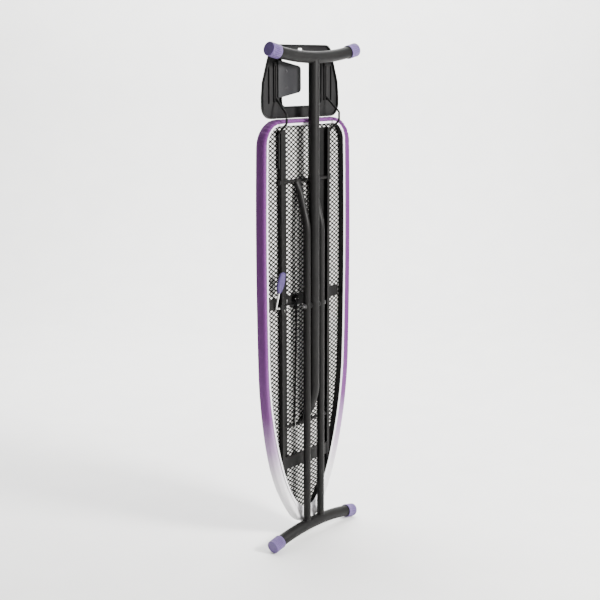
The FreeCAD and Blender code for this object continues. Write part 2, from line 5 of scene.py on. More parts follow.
import bmesh
import bpy
import numpy as np
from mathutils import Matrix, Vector


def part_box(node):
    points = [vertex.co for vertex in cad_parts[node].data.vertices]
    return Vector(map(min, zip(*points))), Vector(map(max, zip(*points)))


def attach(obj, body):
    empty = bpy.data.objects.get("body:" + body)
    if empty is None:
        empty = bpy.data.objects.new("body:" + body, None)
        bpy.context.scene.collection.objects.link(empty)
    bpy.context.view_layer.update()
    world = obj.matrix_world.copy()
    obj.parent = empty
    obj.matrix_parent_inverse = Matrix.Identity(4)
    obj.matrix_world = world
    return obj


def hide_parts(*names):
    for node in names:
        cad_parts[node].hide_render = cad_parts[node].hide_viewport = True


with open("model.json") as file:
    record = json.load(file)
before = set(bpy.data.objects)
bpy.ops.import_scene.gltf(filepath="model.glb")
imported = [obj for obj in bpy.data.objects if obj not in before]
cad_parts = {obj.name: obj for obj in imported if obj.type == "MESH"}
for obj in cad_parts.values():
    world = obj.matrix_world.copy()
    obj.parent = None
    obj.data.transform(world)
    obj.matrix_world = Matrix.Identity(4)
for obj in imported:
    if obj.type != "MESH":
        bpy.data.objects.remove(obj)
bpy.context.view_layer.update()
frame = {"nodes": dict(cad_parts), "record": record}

MM = 0.001
BODY_OF = {node: body for body, nodes in frame["record"]["behaviour"]["bodies"].items() for node in nodes}
SLOT_OF = {part["node"]: part["material_slot"] for part in frame["record"]["subparts"]}

# Places that the frame gives
COVER_LOW, COVER_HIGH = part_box("cover")
NOSE_Z = COVER_LOW[2]
MESH_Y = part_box("mesh_top")[0][1]
PAD_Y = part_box("foam_pad")[0][1]
SPINE_ENDS = (NOSE_Z + 0.10, COVER_HIGH[2] - 0.12)

# Board outline: tangent arcs from the nose tip up one side to the heel edge
ARC_RADII = (0.075, 0.5356, 1.110, 11.400, 0.079)
ARC_ENDS = tuple(math.radians(a) for a in (0.0, 54.22, 70.2, 88.35, 91.6, 180.0))
MOUTH_SHIFT = 0.008
FINE_LOOP = (520, 60)
PLEAT_SEED = 11

# Foot bars: radius of their arch and of their tube
FOOT_ARCH = 0.829
FOOT_TUBE = 0.017

# Height lever: its shaft's axis and lean
SHAFT_LOW, SHAFT_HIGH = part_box("lever_shaft")
SHAFT_Y = (SHAFT_LOW[1] + SHAFT_HIGH[1]) / 2
SHAFT_Z = (SHAFT_LOW[2] + SHAFT_HIGH[2]) / 2
LEVER_LEAN = math.radians(13.8)

# The camera's place, the way it looks and its lens
CAMERA_PLACE = (-2.5789, -2.1393, 1.4235)
CAMERA_LOOK = (0.75645, 0.62227, -0.20141)
LENS_MM = 69.17
LENS_SHIFT_X = -0.0237

# Width in millimetres of the rounding on the hard edges of each CAD part that keeps its shape
EDGE_WIDTHS = {
    "rail_left": 0.5, "rail_right": 0.5, "mid_cross_strip": 0.6, "nose_cross_plate": 0.5,
    "iron_rest": 0.9, "rest_tab": 0.6, "pivot_nuts": 0.5, "rack_bracket": 0.4, "lever_bracket": 0.4,
    "lever_collar": 0.4, "height_rack": 0.25, "rack_hook": 0.3, "lever_finger": 0.3,
    "pivot_washers": 0.3, "pivot_spacers": 0.5, "heel_axle_caps": 0.6, "rack_pin": 0.5,
    "pivot_bolt": 0.8, "glide_left": 0.6, "glide_right": 0.6,
}


# ---------------------------------------------------------------- camera, light and floor

def make_camera():
    data = bpy.data.cameras.new("camera")
    data.sensor_width = 36.0
    data.lens = LENS_MM
    data.shift_x = LENS_SHIFT_X
    data.clip_end = 50.0
    camera = bpy.data.objects.new("camera", data)
    bpy.context.scene.collection.objects.link(camera)
    camera.location = CAMERA_PLACE
    camera.rotation_mode = "QUATERNION"
    camera.rotation_quaternion = Vector(CAMERA_LOOK).to_track_quat("-Z", "Y")
    bpy.context.scene.camera = camera


def area_light(name, place, aim, size, watts, colour):
    data = bpy.data.lights.new(name, "AREA")
    data.shape = "RECTANGLE"
    data.size, data.size_y = size
    data.energy = watts
    data.color = colour
    light = bpy.data.objects.new(name, data)
    light.location = place
    light.rotation_mode = "QUATERNION"
    light.rotation_quaternion = (Vector(aim) - Vector(place)).to_track_quat("-Z", "Y")
    bpy.context.scene.collection.objects.link(light)


def make_studio():
    world = bpy.data.worlds.new("studio")
    world.use_nodes = True
    sky = world.node_tree.nodes["Background"]
    sky.inputs["Color"].default_value = (0.95, 0.95, 0.94, 1)
    sky.inputs["Strength"].default_value = 0.46
    bpy.context.scene.world = world
    area_light("key", (0.6, -3.2, 2.3), (0, 0, 0.75), (0.9, 0.9), 390, (1.0, 0.985, 0.96))
    area_light("fill", (-3.0, -0.6, 1.9), (0, 0, 0.7), (2.4, 2.4), 2, (0.96, 0.98, 1.0))
    area_light("rim", (0.5, 2.6, 2.4), (0, 0, 0.9), (2.0, 1.6), 30, (1.0, 1.0, 1.0))
    area_light("backdrop", (1.0, 0.9, 4.6), (4.2, 3.4, 1.6), (3.2, 3.2), 700, (1.0, 1.0, 1.0))


def make_floor():
    """A pale sweep: floor, rounded corner and backdrop in one sheet."""
    half_wide = 7.0
    radius = 1.2
    back = 4.0
    high = 6.0
    section = [(-6.0, 0.0), (back - radius, 0.0)]
    for step in range(1, 13):
        a = step / 12 * math.pi / 2
        section.append((back - radius + radius * math.sin(a), radius * (1 - math.cos(a))))
    section.append((back, high))
    turn = math.radians(-50.6)
    rows = []
    for along, z in section:
        for across in (-half_wide, half_wide):
            x = -along * math.sin(turn) + across * math.cos(turn)
            y = along * math.cos(turn) + across * math.sin(turn)
            rows.append((x, y, z))
    faces = [(2 * i, 2 * i + 1, 2 * i + 3, 2 * i + 2) for i in range(len(section) - 1)]
    floor = new_object("studio_floor", rows, faces)
    floor.data.materials.append(floor_paint())


# ---------------------------------------------------------------- materials

class Nodes:
    """Small helper that adds and joins shader nodes in one material."""

    def __init__(self, name):
        self.material = bpy.data.materials.new(name)
        self.material.use_nodes = True
        self.tree = self.material.node_tree
        self.shader = self.tree.nodes["Principled BSDF"]
        self.place = self.add("ShaderNodeTexCoord").outputs["Object"]

    def add(self, kind, **values):
        node = self.tree.nodes.new(kind)
        for key, value in values.items():
            if hasattr(node, key):
                setattr(node, key, value)
            else:
                node.inputs[key.replace("_", " ")].default_value = value
        return node

    def join(self, output, target):
        self.tree.links.new(output, target)

    def noise(self, scale, detail=2.0, stretch=None, rough=0.5):
        node = self.add("ShaderNodeTexNoise", Scale=scale, Detail=detail, Roughness=rough)
        source = self.place
        if stretch:
            mapping = self.add("ShaderNodeMapping", Scale=stretch)
            self.join(source, mapping.inputs["Vector"])
            source = mapping.outputs["Vector"]
        self.join(source, node.inputs["Vector"])
        return node.outputs["Fac"]

    def ramp(self, fac, stops):
        node = self.add("ShaderNodeValToRGB")
        elements = node.color_ramp.elements
        while len(elements) < len(stops):
            elements.new(0.5)
        for element, (position, colour) in zip(elements, stops):
            element.position = position
            element.color = colour if len(colour) == 4 else (*colour, 1)
        self.join(fac, node.inputs["Fac"])
        return node.outputs["Color"]

    def remap(self, fac, low, high, from_low=0.3, from_high=0.7):
        node = self.add("ShaderNodeMapRange")
        node.inputs["From Min"].default_value = from_low
        node.inputs["From Max"].default_value = from_high
        node.inputs["To Min"].default_value = low
        node.inputs["To Max"].default_value = high
        self.join(fac, node.inputs["Value"])
        return node.outputs["Result"]

    def maths(self, operation, a, b=None):
        node = self.add("ShaderNodeMath", operation=operation)
        for index, value in enumerate((a, b)):
            if value is None:
                continue
            if isinstance(value, (int, float)):
                node.inputs[index].default_value = value
            else:
                self.join(value, node.inputs[index])
        return node.outputs["Value"]

    def mix(self, fac, a, b, blend="MIX"):
        node = self.add("ShaderNodeMix", data_type="RGBA", blend_type=blend)
        for socket, value in ((node.inputs["Factor"], fac), (node.inputs["A"], a), (node.inputs["B"], b)):
            self.set(socket, value)
        return node.outputs["Result"]

    def set(self, socket, value):
        if isinstance(value, (int, float)):
            socket.default_value = value
        elif isinstance(value, tuple):
            socket.default_value = value if len(value) == 4 else (*value, 1)
        else:
            self.join(value, socket)

    def split(self):
        node = self.add("ShaderNodeSeparateXYZ")
        self.join(self.place, node.inputs["Vector"])
        return node.outputs["X"], node.outputs["Y"], node.outputs["Z"]

    def bump(self, height, distance, strength=1.0, normal=None):
        node = self.add("ShaderNodeBump")
        node.inputs["Distance"].default_value = distance
        node.inputs["Strength"].default_value = strength
        self.join(height, node.inputs["Height"])
        if normal is not None:
            self.join(normal, node.inputs["Normal"])
        return node.outputs["Normal"]

    def finish(self, colour, roughness, normal=None, **sockets):
        self.set(self.shader.inputs["Base Color"], colour)
        self.set(self.shader.inputs["Roughness"], roughness)
        if normal is not None:
            self.join(normal, self.shader.inputs["Normal"])
        for key, value in sockets.items():
            self.set(self.shader.inputs[key.replace("_", " ")], value)
        return self.material


def floor_paint():
    n = Nodes("floor_paint")
    grain = n.noise(6.0, 4.0)
    colour = n.ramp(grain, [(0.3, (0.86, 0.86, 0.85)), (0.7, (0.89, 0.89, 0.88))])
    return n.finish(colour, 0.75)


def black_powder_coat():
    """Satin stove enamel with a faint orange peel and soft scuffs."""
    n = Nodes("black_powder_coat")
    scuff = n.noise(14.0, 5.0, rough=0.65)
    streak = n.noise(3.0, 3.0, stretch=(9.0, 9.0, 1.0))
    colour = n.mix(n.remap(scuff, 0.0, 1.0), (0.0040, 0.0040, 0.0042), (0.0075, 0.0072, 0.0072))
    colour = n.mix(n.remap(streak, 0.0, 0.35, 0.55, 0.8), colour, (0.011, 0.0105, 0.0102))
    roughness = n.remap(scuff, 0.44, 0.56)
    peel = n.bump(n.noise(700.0, 2.0), 0.00006)
    return n.finish(colour, roughness, n.bump(n.noise(60.0, 2.0), 0.0001, 0.4, peel), Specular_IOR_Level=0.15)


def black_mesh_paint():
    n = Nodes("black_mesh_paint")
    speck = n.noise(300.0, 3.0)
    colour = n.mix(n.remap(speck, 0.0, 1.0), (0.005, 0.005, 0.005), (0.012, 0.0115, 0.0115))
    return n.finish(colour, n.remap(speck, 0.45, 0.6), n.bump(speck, 0.00008), Specular_IOR_Level=0.15)


def plated_steel(name, dark, light, rough_low, rough_high):
    n = Nodes(name)
    cloud = n.noise(120.0, 4.0)
    brush = n.noise(60.0, 3.0, stretch=(25.0, 25.0, 1.0))
    colour = n.mix(n.remap(cloud, 0.0, 1.0), dark, light)
    return n.finish(colour, n.remap(brush, rough_low, rough_high), n.bump(brush, 0.00003), Metallic=1.0)


def moulded_plastic(name, dark, light, rough_low, rough_high, grain):
    """Injection-moulded plastic: slight flow marks and a fine spark-eroded grain."""
    n = Nodes(name)
    flow = n.noise(18.0, 3.0, stretch=(1.0, 1.0, 0.35))
    speck = n.noise(grain, 2.0)
    colour = n.mix(n.remap(flow, 0.0, 1.0), dark, light)
    roughness = n.maths("ADD", n.remap(flow, rough_low, rough_high), n.remap(speck, -0.03, 0.03))
    return n.finish(colour, roughness, n.bump(speck, 0.00007, 0.8), Specular_IOR_Level=0.2)


def weave_height(n, pitch):
    """Plain weave: warp and weft threads crossing at the given pitch in metres."""
    x, y, z = n.split()
    turns = 2 * math.pi / pitch
    across = n.maths("ADD", x, y)
    warp = n.maths("SINE", n.maths("MULTIPLY", across, turns))
    weft = n.maths("SINE", n.maths("MULTIPLY", z, turns))
    return n.maths("MULTIPLY", warp, weft)


def ombre_fabric():
    """Purple cotton that fades to pale grey towards the nose."""
    n = Nodes("ombre_fabric")
    z = n.split()[2]
    wander = n.maths("MULTIPLY", n.maths("SUBTRACT", n.noise(5.0, 3.0), 0.5), 0.10)
    fade = n.remap(n.maths("ADD", z, wander), 0.0, 1.0, 0.10, 0.80)
    colour = n.ramp(fade, [(0.0, (0.82, 0.81, 0.82)), (0.13, (0.74, 0.72, 0.75)), (0.22, (0.54, 0.46, 0.57)),
                           (0.30, (0.34, 0.23, 0.39)), (0.45, (0.138, 0.045, 0.168)),
                           (0.72, (0.110, 0.026, 0.136)), (1.0, (0.100, 0.022, 0.124))])
    weave = weave_height(n, 0.0011)
    thread = n.noise(900.0, 2.0)
    colour = n.mix(n.remap(weave, 0.0, 0.22, -1.0, 1.0), colour, (0.9, 0.87, 0.93), "SOFT_LIGHT")
    colour = n.mix(n.remap(thread, 0.0, 0.16), colour, (0.05, 0.03, 0.06))
    normal = n.bump(weave, 0.00012, 0.7, n.bump(n.noise(45.0, 3.0), 0.0005, 0.5))
    return n.finish(colour, n.remap(thread, 0.78, 0.92), normal, Sheen_Weight=0.04, Sheen_Roughness=0.45,
                    Specular_IOR_Level=0.25)


def white_cloth(name, dark, light, pitch, fuzz):
    n = Nodes(name)
    cloud = n.noise(30.0, 4.0)
    colour = n.mix(n.remap(cloud, 0.0, 1.0), dark, light)
    weave = weave_height(n, pitch)
    colour = n.mix(n.remap(weave, 0.0, 0.10, -1.0, 1.0), colour, (0.45, 0.44, 0.45))
    normal = n.bump(weave, 0.00012, 0.6, n.bump(n.noise(fuzz, 3.0), 0.0006, 0.5))
    return n.finish(colour, n.remap(cloud, 0.85, 0.95), normal, Sheen_Weight=0.25, Specular_IOR_Level=0.2)


def make_materials():
    lilac = ((0.094, 0.064, 0.172), (0.114, 0.079, 0.202), 0.36, 0.46, 900.0)
    # the grip's tones are a darker copy of the lilac plastic: painted shade for how the grip is lit, not a
    # different plastic
    grip = ((0.044, 0.029, 0.100), (0.055, 0.037, 0.120), 0.38, 0.50, 900.0)
    grey = ((0.020, 0.020, 0.022), (0.032, 0.032, 0.034), 0.30, 0.40, 500.0)
    black = ((0.0050, 0.0050, 0.0053), (0.0095, 0.0095, 0.0098), 0.40, 0.52, 600.0)
    return {
        "black_powder_coat": black_powder_coat(),
        "black_mesh": black_mesh_paint(),
        "white_foam": white_cloth("white_foam", (0.70, 0.695, 0.68), (0.77, 0.765, 0.75), 0.0026, 180.0),
        "ombre_fabric": ombre_fabric(),
        "white_edging": white_cloth("white_edging", (0.80, 0.79, 0.83), (0.88, 0.87, 0.90), 0.0012, 80.0),
        "black_moulding": moulded_plastic("black_moulding", *black),
        "grey_plate": moulded_plastic("grey_plate", *grey),
        "black_plastic": moulded_plastic("black_plastic", *black),
        "lilac_plastic": moulded_plastic("lilac_plastic", *lilac),
        "lilac_grip_painted_shade": moulded_plastic("lilac_grip_painted_shade", *grip),
        "bright_steel": plated_steel("bright_steel", (0.55, 0.55, 0.56), (0.74, 0.73, 0.71), 0.22, 0.42),
        "dull_zinc": plated_steel("dull_zinc", (0.14, 0.14, 0.145), (0.22, 0.22, 0.22), 0.34, 0.50),
    }


# ---------------------------------------------------------------- building helpers

def new_object(name, verts, faces, smooth=True):
    data = bpy.data.meshes.new(name)
    data.from_pydata([tuple(v) for v in verts], [], [tuple(f) for f in faces])
    data.validate()
    obj = bpy.data.objects.new(name, data)
    bpy.context.scene.collection.objects.link(obj)
    if smooth:
        data.shade_smooth()
    return obj


def outward(obj):
    """Makes every face of a closed mesh point outward."""
    bm = bmesh.new()
    bm.from_mesh(obj.data)
    bmesh.ops.recalc_face_normals(bm, faces=bm.faces)
    bm.to_mesh(obj.data)
    bm.free()


def dress(obj, slot, body, *nodes):
    obj.data.materials.clear()
    obj.data.materials.append(MATERIALS[slot])
    if nodes:
        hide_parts(*nodes)
    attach(obj, body)
    return obj


def apply_modifiers(obj):
    graph = bpy.context.evaluated_depsgraph_get()
    baked = bpy.data.meshes.new_from_object(obj.evaluated_get(graph))
    obj.modifiers.clear()
    obj.data = baked


def softened(node, width, angle=32.0, segments=2):
    """A copy of a CAD node with its hard edges rounded off."""
    bm = bmesh.new()
    bm.from_mesh(frame["nodes"][node].data)
    bmesh.ops.remove_doubles(bm, verts=bm.verts, dist=1e-6)
    bmesh.ops.dissolve_limit(bm, angle_limit=math.radians(0.6), verts=bm.verts, edges=bm.edges)
    sharp = [e for e in bm.edges if len(e.link_faces) == 2 and e.calc_face_angle(0) > math.radians(angle)]
    bmesh.ops.bevel(bm, geom=sharp, offset=width, segments=segments, profile=0.6, affect="EDGES",
                    clamp_overlap=True)
    data = bpy.data.meshes.new(node + ".fine")
    bm.to_mesh(data)
    bm.free()
    data.shade_smooth()
    obj = bpy.data.objects.new(node + ".fine", data)
    bpy.context.scene.collection.objects.link(obj)
    weighted = obj.modifiers.new("weighted", "WEIGHTED_NORMAL")
    weighted.weight = 80
    apply_modifiers(obj)
    return dress(obj, SLOT_OF[node], BODY_OF[node], node)


def arc_stations(inset, count):
    """Points of the +X half outline at an inset, evenly spaced, each with its outward direction."""
    lengths = [(r - inset) * (b - a) for r, a, b in zip(ARC_RADII, ARC_ENDS, ARC_ENDS[1:])]
    starts = []
    x, z = 0.0, NOSE_Z + inset
    for r, a, b in zip(ARC_RADII, ARC_ENDS, ARC_ENDS[1:]):
        starts.append((x, z))
        x += (r - inset) * (math.sin(b) - math.sin(a))
        z += (r - inset) * (math.cos(a) - math.cos(b))
    total = sum(lengths)
    heel_x = x
    stations = []
    for i in range(count + 1):
        s = total * i / count
        k = 0
        while k < 4 and s > lengths[k]:
            s -= lengths[k]
            k += 1
        r, a = ARC_RADII[k] - inset, ARC_ENDS[k]
        angle = a + s / r
        px = starts[k][0] + r * (math.sin(angle) - math.sin(a))
        pz = starts[k][1] + r * (math.cos(a) - math.cos(angle))
        stations.append((px, pz, math.sin(angle), -math.cos(angle)))
    return stations, heel_x


def outline_loop(side_count, heel_count):
    """Whole outline as arrays: point x and z, outward x and z. Starts at the nose tip, up +X, down -X."""
    right, heel_x = arc_stations(0.0, side_count)
    z_heel = right[-1][1]
    across = [(heel_x * (1 - 2 * i / heel_count), z_heel, 0.0, 1.0) for i in range(1, heel_count)]
    left = [(-x, z, -nx, nz) for x, z, nx, nz in reversed(right[1:])]
    return np.array(right + across + left)


def swept_band(name, loop, rows, shift):
    """Closed band round the outline. rows is a list of (inset array, Y array), one per profile point."""
    count = len(loop)
    verts = []
    for inset, y in rows:
        xs = loop[:, 0] - loop[:, 2] * inset
        zs = loop[:, 1] - loop[:, 3] * inset + shift
        verts.append(np.stack([xs, np.broadcast_to(y, xs.shape), zs], axis=1))
    verts = np.concatenate(verts)
    faces = []
    total = len(rows)
    for j in range(total):
        for i in range(count):
            a, b = i, (i + 1) % count
            here, there = j * count, (j + 1) % total * count
            faces.append((here + a, here + b, there + b, there + a))
    obj = new_object(name, verts, faces)
    outward(obj)
    return obj


def tube(name, points, radius, sides=12, closed=False):
    """Round wire through points, as a mesh."""
    curve = bpy.data.curves.new(name, "CURVE")
    curve.dimensions = "3D"
    curve.bevel_depth = radius
    curve.bevel_resolution = max(1, sides // 4)
    curve.use_fill_caps = True
    spline = curve.splines.new("POLY")
    spline.points.add(len(points) - 1)
    for point, place in zip(spline.points, points):
        point.co = (*place, 1)
    spline.use_cyclic_u = closed
    holder = bpy.data.objects.new(name, curve)
    data = bpy.data.meshes.new_from_object(holder)
    bpy.data.objects.remove(holder)
    data.shade_smooth()
    obj = bpy.data.objects.new(name, data)
    bpy.context.scene.collection.objects.link(obj)
    return obj


def joined(name, pieces):
    """One mesh object made of several."""
    bm = bmesh.new()
    for piece in pieces:
        bm.from_mesh(piece.data)
        bpy.data.objects.remove(piece)
    data = bpy.data.meshes.new(name)
    bm.to_mesh(data)
    bm.free()
    data.shade_smooth()
    obj = bpy.data.objects.new(name, data)
    bpy.context.scene.collection.objects.link(obj)
    return obj


# ---------------------------------------------------------------- board

def half_width(z, inset):
    """Half width of the outline at a height, for an inset outline."""
    stations = arc_stations(inset, 600)[0]
    zs = np.array([s[1] for s in stations])
    xs = np.array([s[0] for s in stations])
    return np.interp(z, zs, xs, left=0.0, right=0.0)


def expanded_metal():
    """Diamond mesh: a bond at every crossing and a slanted strand between bonds."""
    half_long, half_short = 0.010, 0.0065
    margin = 0.012
    bond_x, bond_z = 0.0033, 0.0020
    slant, thick = 0.0006, 0.0011
    low_z = NOSE_Z + margin
    rows = int((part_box("mesh_top")[1][2] - 0.010 - low_z) / half_short)
    middle_y = MESH_Y - 0.0004
    verts = []
    bonds = {}
    for j in range(rows):
        z = low_z + j * half_short
        reach = float(half_width(z, margin))
        limit = int(reach / half_long)
        for i in range(-limit, limit + 1):
            if (i + j) % 2:
                continue
            x = i * half_long
            bonds[i, j] = len(verts)
            verts += [(x - bond_x, middle_y, z), (x, middle_y + slant, z + bond_z),
                      (x + bond_x, middle_y, z), (x, middle_y - slant, z - bond_z)]
    faces = []
    for (i, j), a in bonds.items():
        faces.append((a, a + 3, a + 2, a + 1))
        right = bonds.get((i + 1, j + 1))
        if right is not None:
            faces.append((a + 2, right + 3, right, a + 1))
        left = bonds.get((i - 1, j + 1))
        if left is not None:
            faces.append((a, a + 1, left + 2, left + 3))
    obj = new_object("expanded_metal", verts, faces, smooth=False)
    solid = obj.modifiers.new("thickness", "SOLIDIFY")
    solid.thickness = thick
    solid.offset = 0.0
    apply_modifiers(obj)
    return dress(obj, "black_mesh", "board", "mesh_top")


def fill_to_spine(loop, inset_start, y_edge, y_at, steps, ends):
    """Quads from a loop at an inset in to the board's middle line; y_at gives the height of each point."""
    xs = loop[:, 0] - loop[:, 2] * inset_start
    zs = loop[:, 1] - loop[:, 3] * inset_start
    spine_z = np.clip(zs, ends[0], ends[1])
    rings = []
    for k in range(steps + 1):
        t = k / steps
        px = xs * (1 - t)
        pz = zs + (spine_z - zs) * t
        rings.append(np.stack([px, y_at(px, pz, t, y_edge), pz], axis=1))
    return rings


def skin(name, rings):
    """One smooth mesh through rings of equal length, closed round each ring and merged along the spine."""
    count = len(rings[0])
    faces = []
    for j in range(len(rings) - 1):
        for i in range(count):
            a, b = j * count + i, j * count + (i + 1) % count
            faces.append((a, b, b + count, a + count))
    obj = new_object(name, np.concatenate(rings), faces)
    bm = bmesh.new()
    bm.from_mesh(obj.data)
    bmesh.ops.remove_doubles(bm, verts=bm.verts, dist=2e-5)
    bmesh.ops.recalc_face_normals(bm, faces=bm.faces)
    bm.to_mesh(obj.data)
    bm.free()
    obj.data.shade_smooth()
    return obj


def cover_gather(loop, seed):
    """Height of the pleats round the edge: strong at the nose and heel corners, faint along the sides."""
    step = np.hypot(np.diff(loop[:, 0], append=loop[0, 0]), np.diff(loop[:, 1], append=loop[0, 1]))
    s = np.cumsum(step) - step[0]
    nose = np.exp(-((loop[:, 1] - NOSE_Z) / 0.16) ** 2)
    top = loop[:, 1].max()
    heel = np.exp(-((top - loop[:, 1]) / 0.065) ** 2) * (np.abs(loop[:, 0]) > 0.085)
    amount = 0.16 + 1.25 * nose + 3.0 * heel
    local = np.random.default_rng(seed)
    wave = np.zeros(len(loop))
    for length in (0.0092, 0.0131, 0.0187, 0.031):
        phase = local.uniform(0, 6.28)
        wander = 0.9 * np.sin(s / 0.083 + local.uniform(0, 6.28))
        wave += np.sin(2 * math.pi * s / length + phase + wander)
    return amount * wave / 2.6


def soft_noise(x, z, scale, seed):
    local = np.random.default_rng(seed)
    out = np.zeros(np.shape(x))
    for _ in range(7):
        angle = local.uniform(0, math.pi)
        size = scale * local.uniform(0.6, 1.6)
        out += np.sin((x * math.cos(angle) + z * math.sin(angle)) / size + local.uniform(0, 6.28))
    return out / 3.5


def fabric_cover():
    """The cover: flat top, rolled edge and gathered lip in one sheet of cloth."""
    loop = outline_loop(*FINE_LOOP)
    gather = cover_gather(loop, PLEAT_SEED)
    profile = [(20.5, 7.9), (19.0, 7.3), (17.0, 6.9), (15.0, 6.0), (13.2, 4.5), (11.3, 2.9), (9.4, 1.8),
               (7.5, 1.3), (5.6, 1.7), (3.9, 3.1), (2.6, 5.4), (1.7, 8.4), (1.1, 12.0), (0.7, 16.5),
               (0.5, 21.5), (0.6, 25.0), (1.0, 28.3), (1.9, 31.2), (3.4, 33.5), (5.6, 35.1), (8.6, 36.0),
               (13.0, 36.35), (19.0, 36.5), (27.0, 36.6)]
    lip = [1.0, 1.0, 0.97, 0.93, 0.88, 0.82, 0.75, 0.7, 0.62, 0.55, 0.47, 0.4, 0.34, 0.27, 0.2, 0.14,
           0.09, 0.06, 0.03, 0.02, 0.0, 0.0, 0.0, 0.0]
    corner = 0.9 * np.exp(-((loop[:, 1].max() - loop[:, 1]) / 0.06) ** 2)
    # the cloth hangs a little loose on the -X side of the nose
    loose = 0.006 * np.exp(-((loop[:, 1] - 0.23) / 0.13) ** 2) * (loop[:, 0] < 0)
    verts = []
    for k, (inset, y) in enumerate(profile):
        before, after = profile[max(0, k - 1)], profile[min(len(profile) - 1, k + 1)]
        run = np.array([after[0] - before[0], after[1] - before[1]])
        run = run / np.linalg.norm(run)
        depth = 0.0011 * gather * np.maximum(lip[k], corner * min(1.0, 1.6 - y / 25))
        # a pleat sinks the cloth along the inward normal of the profile
        sink = np.clip(depth, -0.0002, 0.0028)
        inset_k = inset * MM + sink * abs(run[1]) - loose * min(1.0, max(0.0, (y - 4) / 8))
        y_k = y * MM + np.where(y < 20, sink * abs(run[0]), 0.0)
        shift = MOUTH_SHIFT * min(1.0, max(0.0, (inset - 7.0) / 11.0)) if y < 8 else 0.0
        xs = loop[:, 0] - loop[:, 2] * inset_k
        zs = loop[:, 1] - loop[:, 3] * inset_k + shift
        verts.append(np.stack([xs, y_k, zs], axis=1))

    def top_y(px, pz, t, edge):
        crown = 0.0001 + 0.00004 * t
        return edge + crown * min(1.0, 3 * t) + 0.00006 * soft_noise(px, pz, 0.03, 5) * min(1.0, 4 * t)

    verts += fill_to_spine(loop, 0.027, profile[-1][1] * MM, top_y, 16, SPINE_ENDS)[1:]
    obj = skin("cover_cloth", verts)
    solid = obj.modifiers.new("thickness", "SOLIDIFY")
    solid.thickness = 0.0007
    solid.offset = -1.0
    apply_modifiers(obj)
    return dress(obj, "ombre_fabric", "board", "cover", "edge_wadding")


def hem():
    """White binding tape sewn to the cover's edge, ruffled where the cloth is gathered."""
    loop = outline_loop(*FINE_LOOP)
    gather = cover_gather(loop, PLEAT_SEED)
    ripple = np.clip(0.00045 * gather, -0.0006, 0.0006)
    rows = []
    section = [(20.3, 7.6), (21.0, 7.15), (22.5, 7.0), (24.3, 7.05), (26.0, 7.45), (27.0, 8.4), (26.9, 9.6),
               (25.8, 10.2), (23.5, 10.2), (21.3, 9.6), (20.4, 8.7)]
    for inset, y in section:
        share = (inset - 20.3) / 6.7
        slack = 0.013 * np.exp(-((loop[:, 1] - NOSE_Z) / 0.045) ** 2) * share
        rows.append((inset * MM - np.abs(ripple) * share + slack, y * MM + ripple * 0.9 * (y < 9.0)))
    obj = swept_band("hem_tape", loop, rows, MOUTH_SHIFT)
    return dress(obj, "white_edging", "board", "hem_edging")


def foam():
    """Felt-faced foam with a rounded edge, flat on the metal mesh."""
    loop = outline_loop(360, 48)

    def under(px, pz, t, edge):
        return edge + 0 * px

    profile = [(5.6, 27.6), (4.6, 28.6), (4.2, 30.2), (4.6, 32.4), (5.8, 34.0), (7.6, 35.0), (10.0, 35.3)]
    bottom = fill_to_spine(loop, 0.0060, PAD_Y + 0.0002, under, 24, SPINE_ENDS)[::-1]
    sides = []
    for inset, y in profile:
        xs = loop[:, 0] - loop[:, 2] * inset * MM
        zs = loop[:, 1] - loop[:, 3] * inset * MM
        sides.append(np.stack([xs, np.full(len(xs), y * MM), zs], axis=1))
    top = fill_to_spine(loop, 0.016, 0.0354, under, 16, SPINE_ENDS)
    obj = skin("pad_felt", bottom + sides + top)
    return dress(obj, "white_foam", "board", "foam_pad")


# ---------------------------------------------------------------- caps, grip, spring

